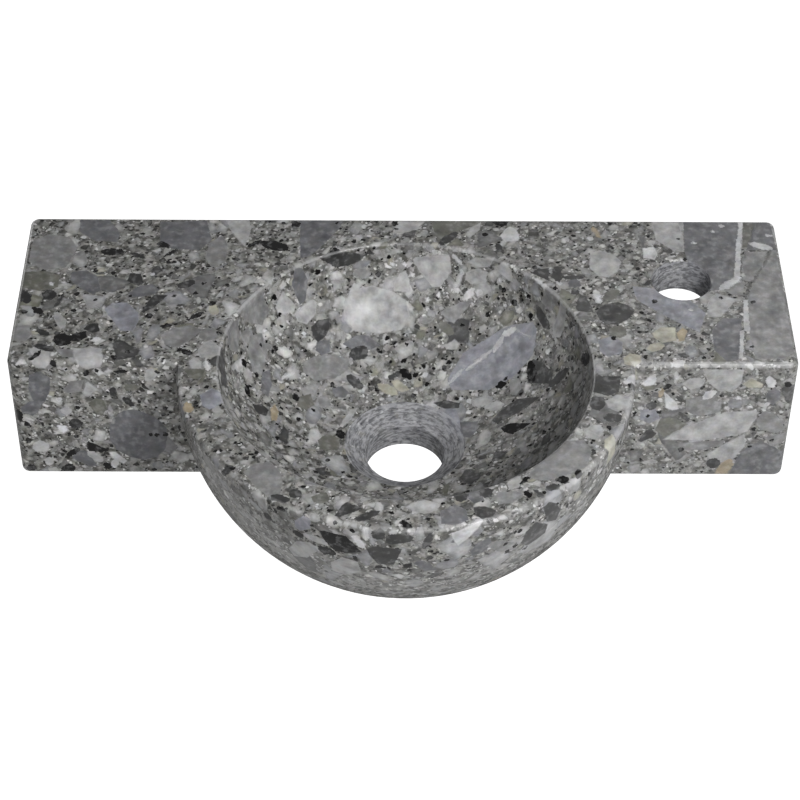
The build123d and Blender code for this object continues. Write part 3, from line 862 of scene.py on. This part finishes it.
class Rock:
    """The stone's pattern as it is laid: its colour so far, and each fragment's shift of its own detail."""

    def __init__(self, g, colour):
        self.g = g
        self.colour = colour
        self.shift = (0.0, 0.0, 0.0, 1.0)

    def lay(self, share, colour, shift):
        self.colour = self.g.mix(share, self.colour, colour)
        self.shift = self.g.mix(share, self.shift, shift)

    def clasts(self, point, size, share, gap, colours, turn, length=1.0, edge=0.05):
        """Lays broken stones: some cells of a Voronoi pattern, each drawn in from its neighbours.

        size is a cell's size, share the part of the cells that hold a stone, and gap how far their
        borders are drawn in, as the least and the most. length stretches them along their own X, and
        their borders fade over edge.
        """
        g = self.g
        local = g.placed(point, place=[size * start for start in CLAST_START], turn=turn,
                         size=(size * length, size, size))
        cell = g.cells(local)
        chance, pick, fit = g.parts(cell["Color"])
        border = g.cells(local, feature="DISTANCE_TO_EDGE")["Distance"]
        low = g.math("MULTIPLY_ADD", fit, gap[1] - gap[0], gap[0])
        inside = g.step(border, low, g.math("ADD", low, edge))
        chosen = g.math("MULTIPLY", inside, g.math("LESS_THAN", chance, share))
        rounded = g.step(border, low, g.math("ADD", low, edge * BORDER_REACH))
        shade = g.math("MULTIPLY_ADD", rounded, 1 - BORDER_SHADE, BORDER_SHADE)
        colour = g.mix(1.0, g.palette(pick, colours), shade, "MULTIPLY")
        shift = g.vector("MULTIPLY_ADD", cell["Color"], (SHIFT, SHIFT, SHIFT), (0, 0, SHIFT))
        self.lay(chosen, colour, shift)

    def specks(self, point, size, share, radius, colour, turn, length=1.0):
        """Scatters small blobs of one colour: a share of the cells, with radii from the least to the most."""
        g = self.g
        local = g.placed(point, place=[size * start for start in SPECK_START], turn=turn,
                         size=(size * length, size, size))
        cell = g.cells(local)
        chance, pick, fit = g.parts(cell["Color"])
        reach = g.math("MULTIPLY_ADD", fit, (radius[1] - radius[0]) / size, radius[0] / size)
        inside = g.step(cell["Distance"], reach, g.math("MULTIPLY", reach, SPECK_CORE))
        chosen = g.math("MULTIPLY", inside, g.math("LESS_THAN", chance, share))
        self.colour = g.mix(chosen, self.colour, colour)


# The kinds of placed fragments: their colour, and how far in from their border it fades in
KINDS = {
    "slate": (grey(106, -2), 0.4),
    "grey": (grey(127, 0), 0.5),
    "lavender": (grey(136, -5), 0.5),
    "olive": (srgb(105, 105, 100), 0.3),
    "pale": (grey(158, 0), 0.8),
    "cream": (srgb(160, 158, 146), 0.7),
    "ochre": (srgb(150, 139, 120), 0.9),
    "vein": (grey(180, -1), 0.5),
    "white": (grey(188, -1), 0.9),
    "charcoal": (grey(70, 0), 0.35),
    "black": (grey(14, 0), 0.2),
}


def unpolished(g, place):
    """1 on the stone's back and underside and in its tap pocket and fixing holes, which aren't polished."""
    x, y, z = g.parts(place)
    back = g.math("GREATER_THAN", y, -BACK_SKIN)
    below = g.math("LESS_THAN", z, underside + SKIN)
    pocket_x = g.math("COMPARE", x, tap_axis.x, POCKET_HALF_WIDTH + SKIN)
    pocket_y = g.math("GREATER_THAN", y, front + POCKET_WALL - BACK_SKIN)
    pocket_z = g.math("LESS_THAN", z, top - DECK_THICKNESS + SKIN)
    pocket = g.math("MINIMUM", g.math("MINIMUM", pocket_x, pocket_y), pocket_z)
    from_fixing = g.vector("DISTANCE", g.joined(g.math("ABSOLUTE", x), z, 0.0), (fixing_x, 0, 0))
    in_fixing = g.math("LESS_THAN", from_fixing, COUNTERBORE_RADIUS + SKIN)
    fixing = g.math("MINIMUM", in_fixing, g.math("GREATER_THAN", y, sleeve_end - BACK_SKIN))
    outside = g.math("MAXIMUM", back, below)
    return g.math("MAXIMUM", g.math("MAXIMUM", outside, pocket), fixing)


def painted_edge_highlight(g, place):
    """How much paler the stone is painted as a highlight on the rounded edges of the block's front and of the
    bowl's rim, brighter to the right on the front.
    """
    x, y, z = g.parts(place)
    below = g.math("SUBTRACT", top, z)
    across = g.vector("MULTIPLY", g.vector("SUBTRACT", place, bowl_middle), (1, 1, 0))
    from_axis = g.vector("LENGTH", across)
    from_front = g.math("SUBTRACT", y, front)
    from_side = g.math("SUBTRACT", bowl_radius, from_axis)
    outer = g.step(g.math("ADD", g.math("MAXIMUM", from_front, from_side), below), *OUTER_HIGHLIGHT)
    outer = g.math("MULTIPLY", outer, g.math("MULTIPLY_ADD", x, OUTER_HIGHLIGHT_SLOPE, OUTER_HIGHLIGHT_SHARE))
    from_hollow = g.math("SUBTRACT", from_axis, hollow_radius)
    inner = g.step(g.math("MAXIMUM", g.math("ADD", from_hollow, below), below), *RIM_HIGHLIGHT)
    return g.math("MAXIMUM", outer, g.math("MULTIPLY", inner, RIM_HIGHLIGHT_SHARE))


def round_about(g, place, axis, radius, high):
    """1 within that distance of an upright axis and below that level."""
    across = g.vector("MULTIPLY", g.vector("SUBTRACT", place, axis), (1, 1, 0))
    near = g.math("LESS_THAN", g.vector("LENGTH", across), radius)
    return g.math("MULTIPLY", near, g.math("LESS_THAN", g.parts(place)[2], high))


def tool_marks(g, place, axis):
    """Streaks that run round an upright axis, as a core drill leaves them."""
    millimetres_per_radian = 7.0
    slope = 0.35
    x, y, z = g.parts(g.vector("SUBTRACT", place, axis))
    turned = g.math("MULTIPLY", g.math("ARCTAN2", y, x), millimetres_per_radian)
    across = g.vector("LENGTH", g.joined(x, y, 0.0))
    slant = g.math("MULTIPLY_ADD", turned, slope, z)
    return g.noise(g.joined(across, turned, slant), 1.5, 3, 0.6)


def lay_ground(rock, place, point):
    """The fine ground and its layers of clasts and grains. The bowl was cut where pale pebbles lie close."""
    g = rock.g
    fade = 20
    in_bowl = g.step(g.vector("DISTANCE", place, hollow_middle), bowl_radius, bowl_radius - fade)
    rock.clasts(place, size=1.8, share=0.5, gap=(0.02, 0.2), turn=(50, 10, 70), length=1.2, edge=0.12,
                colours=[(3, grey(166, 1)), (2, grey(128, 1)), (2, grey(82, 1)), (2, grey(194, 1)),
                         (1, grey(42, 1))])
    rock.clasts(point, size=3.2, share=0.4, gap=(0.02, 0.2), turn=(20, 40, 10), length=1.3, edge=0.1,
                colours=[(3, grey(166, 1)), (2, grey(142, 1)), (2, grey(104, 1)), (1, grey(190, 1)),
                         (2, grey(72, 1))])
    rock.specks(point, size=5.0, share=0.45, radius=(0.6, 1.5), colour=grey(186, 1),
                turn=(0, 50, 30), length=1.5)
    rock.specks(point, size=3.0, share=0.5, radius=(0.4, 1.0), colour=grey(22, 1),
                turn=(40, 0, 20), length=1.5)
    rock.clasts(point, size=5.5, share=g.math("MULTIPLY_ADD", in_bowl, 0.3, 0.35), gap=(0.04, 0.2),
                turn=(70, 15, 35), length=1.5, edge=0.12,
                colours=[(3, grey(162, 1)), (2, grey(142, 0)), (1, grey(110, 1)), (3, grey(180, 1)),
                         (1, grey(78, 1)), (1, srgb(156, 154, 144))])
    rock.specks(point, size=6.5, share=0.42, radius=(0.7, 1.6), colour=grey(20, 1),
                turn=(10, 70, 0), length=1.6)
    rock.clasts(point, size=9.5, share=g.math("MULTIPLY_ADD", in_bowl, 0.3, 0.3), gap=(0.05, 0.2),
                turn=(25, 5, 80), length=1.5, edge=0.1,
                colours=[(3, grey(156, 0)), (2, grey(142, -2)), (3, grey(170, 1)), (1, grey(116, 1)),
                         (1, grey(84, 0)), (1, srgb(120, 120, 112)), (1, grey(184, 0))])
    rock.clasts(point, size=18, share=0.1, gap=(0.05, 0.16), turn=(10, 65, 80), length=1.4, edge=0.05,
                colours=[(3, grey(146, -2)), (2, grey(134, -1)), (2, grey(158, -1)), (2, grey(114, 0)),
                         (1, grey(84, 0))])
    rock.specks(point, size=9.0, share=0.42, radius=(0.6, 1.5), colour=grey(22, 0),
                turn=(0, 20, 60), length=1.5)


def lay_placed(rock, placed, place, ripple):
    """The fragments that the photograph shows, with borders that are bent, most of all on small stones."""
    g = rock.g
    bent, frayed, crumbled = [g.vector("ADD", place, g.scaled(ripple, reach)) for reach in (1.5, 2.4, 3.6)]
    for number, (kind, (colour, blur)) in enumerate(KINDS.items()):
        angular, rounded = placed[kind]
        edged = frayed if kind == "vein" else bent
        makers = [lambda tree=tree: g.group(tree, edged) for tree in angular]
        makers += [lambda tree=tree: g.group(tree, crumbled) for tree in rounded]
        share = g.step(g.fold("MINIMUM", makers), FADE_OUT, -blur)
        rock.lay(share, colour, (SHIFT * number * 0.7, -SHIFT * number, SHIFT * 1.5, 1.0))


def toned(g, place, colour):
    """The colour, darker and of more contrast on the left."""
    x = g.parts(place)[0]
    contrast = g.math("MULTIPLY_ADD", x, CONTRAST_SLOPE, MIDDLE_CONTRAST)
    brightness = g.math("MULTIPLY_ADD", x, BRIGHTNESS_SLOPE, 1.0)
    lift = g.math("MULTIPLY", g.math("SUBTRACT", brightness, contrast), MEAN_COLOUR)
    colour = g.vector("MULTIPLY_ADD", colour, contrast, lift)
    return g.vector("MAXIMUM", colour, (DARKEST, DARKEST, DARKEST))


def clouded(rock, place, hues):
    """The rock's colour with clouds, fine grain and smudges, each fragment with its own, and the clouds."""
    g = rock.g
    spot = g.vector("ADD", place, rock.shift)
    clouds = g.noise(spot, 8.0, 2, 0.55)
    dust = g.math("SUBTRACT", g.noise(spot, 1.2, 2, 0.6), 0.5)
    solid = g.step(g.parts(rock.shift)[2], SHIFT * 0.3, SHIFT * 0.8)
    dusty = g.math("MULTIPLY", dust, g.math("MULTIPLY_ADD", solid, SOLID_GRAIN, 1.0))
    mottled = g.math("MULTIPLY_ADD", clouds, CLOUD_CONTRAST, CLOUD_BASE)
    shade = g.math("MULTIPLY", mottled, g.math("ADD", dusty, 1.0))
    tint = g.vector("MULTIPLY_ADD", hues, (0.16, 0.1, 0.22), (0.92, 0.95, 0.89))
    colour = g.vector("MULTIPLY", g.scaled(toned(g, place, rock.colour), shade), tint)
    smudges = g.math("MULTIPLY", g.step(g.noise(spot, 4.0, 2, 0.55), 0.5, 0.72), solid)
    return g.mix(g.math("MULTIPLY", smudges, 0.16), colour, grey(190, -1)), clouds


def dulled(g, place, colour):
    """The colour with the drilled and the unpolished places dull, where it is dull, and the relief there."""
    drain = round_about(g, place, drain_axis, flare_radius + SKIN, flare_rim + SKIN)
    tap = round_about(g, place, tap_axis, tap_radius + TAP_SKIN, top - TAP_ROUNDING)
    marks = g.mix(tap, tool_marks(g, place, drain_axis), tool_marks(g, place, tap_axis))
    bored = g.math("MAXIMUM", drain, tap)
    matt = g.math("MAXIMUM", bored, unpolished(g, place))
    streaks = g.mix(g.step(marks, 0.38, 0.62), grey(100, -4), grey(176, -4))
    colour = g.mix(bored, colour, g.mix(DRILLED_SHARE, colour, streaks))
    sawn = g.math("SUBTRACT", matt, bored)
    colour = g.mix(g.math("MULTIPLY", sawn, SAWN_SHARE), colour, grey(140, 1))
    saw = g.noise(g.vector("MULTIPLY", place, (0.06, 1, 1)), 1.4, 2, 0.5)
    relief = g.math("MULTIPLY", g.mix(bored, saw, marks), matt)
    return colour, matt, relief


def stone_material():
    """Polished breccia: broken stones of many sizes in a fine grey ground, with black and white grains."""
    mesh = nodes["stone_basin"].data
    corners = [vertex.co for vertex in mesh.vertices]
    surface = BVHTree.FromPolygons(corners, [face.vertices for face in mesh.polygons])
    placed = {kind: groups_of(kind, surface) for kind in KINDS}
    material = bpy.data.materials.new("polished_breccia")
    g = Graph.of(material)
    place = g.scaled(g.node("ShaderNodeTexCoord").outputs["Object"], 1 / MM)
    hues = g.noise(place, 5.0, 2, 0.6, "Color")
    point = g.vector("ADD", place, g.scaled(g.vector("SUBTRACT", hues, (0.5, 0.5, 0.5)), 2.8))
    ripple = g.vector("SUBTRACT", g.noise(place, 2.4, 2, 0.6, "Color"), (0.5, 0.5, 0.5))
    rock = Rock(g, g.mix(g.step(g.noise(place, 4.5, 2, 0.5), 0.35, 0.65), grey(90, 2), grey(140, 2)))
    lay_ground(rock, place, point)
    lay_placed(rock, placed, place, ripple)
    colour, clouds = clouded(rock, place, hues)
    # The painted highlight on the rounded edges, a pale grey laid over the stone
    colour = g.mix(painted_edge_highlight(g, place), colour, grey(214, -1))
    colour, matt, relief = dulled(g, place, colour)

    # The gloss, less where the stone is dull and where it is seen at a slant
    gloss = g.math("MULTIPLY_ADD", clouds, 0.12, 0.12)
    facing = g.node("ShaderNodeLayerWeight").outputs["Facing"]
    gloss = g.math("MAXIMUM", gloss, g.step(facing, 0.4, 1.15))
    roughness = g.math("MAXIMUM", g.math("MULTIPLY_ADD", matt, DULL_ROUGHNESS, gloss), gloss)
    g.surface(base_color=colour, roughness=roughness, specular_ior_level=0.1, normal=g.bump(relief, 0.25))
    return material


def steel_material():
    """Zinc-plated steel, a little uneven in gloss, with fine turning marks."""
    material = bpy.data.materials.new("zinc_plated_steel")
    g = Graph.of(material)
    place = g.scaled(g.node("ShaderNodeTexCoord").outputs["Object"], 1 / MM)
    blotches = g.noise(place, 3.0, 3, 0.6)
    turning = g.noise(g.vector("MULTIPLY", place, (0.25, 4, 0.25)), 1.0, 2, 0.6)
    colour = g.mix(g.step(blotches, 0.35, 0.65), srgb(150, 152, 156), srgb(186, 186, 182))
    roughness = g.math("MULTIPLY_ADD", blotches, 0.25, 0.22)
    g.surface(base_color=colour, roughness=roughness, metallic=1.0, normal=g.bump(turning, 0.03))
    return material


def nylon_material(name, light, dark):
    """Moulded nylon with a faint grain."""
    material = bpy.data.materials.new(name)
    g = Graph.of(material)
    place = g.scaled(g.node("ShaderNodeTexCoord").outputs["Object"], 1 / MM)
    haze = g.noise(place, 4.0, 2, 0.5)
    grain = g.noise(place, 0.35, 2, 0.6)
    colour = g.mix(g.step(haze, 0.3, 0.7), dark, light)
    roughness = g.math("MULTIPLY_ADD", grain, 0.2, 0.38)
    g.surface(base_color=colour, roughness=roughness, normal=g.bump(grain, 0.02))
    return material


def dress(node, material):
    """Gives a CAD node its material in place of its packed one."""
    mesh = nodes[node].data
    mesh.materials.clear()
    mesh.materials.append(material)


def make_camera():
    data = bpy.data.cameras.new("photo_camera")
    data.sensor_width = SENSOR
    data.lens = FOCAL_PIXELS * SENSOR / PHOTO_SIDE
    data.clip_start = 0.05
    data.clip_end = 20
    camera = bpy.data.objects.new("photo_camera", data)
    turn = Matrix((right, up, -forward)).transposed().to_4x4()
    camera.matrix_world = Matrix.Translation(camera_place * MM) @ turn
    bpy.context.scene.collection.objects.link(camera)
    bpy.context.scene.camera = camera


def seen_directly(g):
    """1 for rays that show a thing as background: from the camera, or by way of gloss or glass."""
    path = g.node("ShaderNodeLightPath")
    rays = g.math("MAXIMUM", path.outputs["Is Camera Ray"], path.outputs["Is Glossy Ray"])
    return g.math("MAXIMUM", rays, path.outputs["Is Transmission Ray"])


def make_world():
    world = bpy.data.worlds.new("studio")
    bpy.context.scene.world = world
    g = Graph.of(world)
    background = g.node("ShaderNodeBackground")
    g.feed(background.inputs["Color"], (1, 1, 1, 1))
    strength = g.math("MULTIPLY_ADD", seen_directly(g), 1 - AMBIENT, AMBIENT)
    g.feed(background.inputs["Strength"], strength)
    g.tree.links.new(background.outputs[0], g.node("ShaderNodeOutputWorld").inputs[0])


def make_floor():
    """A plain pale floor, as far below the basin as it hangs over one."""
    half = 6.0
    drop = -0.88
    mesh = bpy.data.meshes.new("floor")
    corners = [(-half, -half, drop), (half, -half, drop), (half, half, drop), (-half, half, drop)]
    mesh.from_pydata(corners, [], [(0, 1, 2, 3)])
    floor = bpy.data.objects.new("floor", mesh)
    bpy.context.scene.collection.objects.link(floor)
    material = bpy.data.materials.new("pale_floor")
    g = Graph.of(material)
    matt = g.node("ShaderNodeBsdfDiffuse")
    g.feed(matt.inputs["Color"], (0.9, 0.9, 0.9, 1))
    glow = g.node("ShaderNodeEmission")
    g.feed(glow.inputs["Strength"], g.math("MULTIPLY", seen_directly(g), FLOOR_GLOW))
    both = g.node("ShaderNodeAddShader")
    g.feed(both.inputs[0], matt.outputs[0])
    g.feed(both.inputs[1], glow.outputs[0])
    g.tree.links.new(both.outputs[0], g.node("ShaderNodeOutputMaterial").inputs[0])
    mesh.materials.append(material)


def make_lamp(name, azimuth, elevation, distance, side, power):
    """A square softbox round the bowl, with its azimuth from the front to the right. Metres and watts."""
    data = bpy.data.lights.new(name, "AREA")
    data.shape = "SQUARE"
    data.size = side
    data.energy = power
    lamp = bpy.data.objects.new(name, data)
    a, e = math.radians(azimuth), math.radians(elevation)
    towards = Vector((math.sin(a) * math.cos(e), -math.cos(a) * math.cos(e), math.sin(e)))
    target = Vector((0, front * MM, 0))
    lamp.location = target + towards * distance
    lamp.rotation_mode = "QUATERNION"
    lamp.rotation_quaternion = towards.to_track_quat("Z", "Y")
    lamp.visible_camera = False
    bpy.context.scene.collection.objects.link(lamp)


# Scene
bpy.context.scene.view_settings.view_transform = "Standard"
make_camera()
make_world()
make_floor()
make_lamp("key_softbox", azimuth=36, elevation=48, distance=1.1, side=0.25, power=9.1)
make_lamp("front_softbox", azimuth=6, elevation=26, distance=2.0, side=0.8, power=12.5)
make_lamp("back_softbox", azimuth=215, elevation=4, distance=2.0, side=0.8, power=9)

# Materials of the carried-over nodes
dress("stone_basin", stone_material())
dress("fixing_sleeves", nylon_material("moulded_nylon", grey(206, 6), grey(192, 7)))
dress("wall_plugs", nylon_material("plug_nylon", grey(118, -1), grey(106, -1)))
steel = steel_material()
for node in ("hanger_bolts", "wall_washers", "wall_nuts"):
    dress(node, steel)
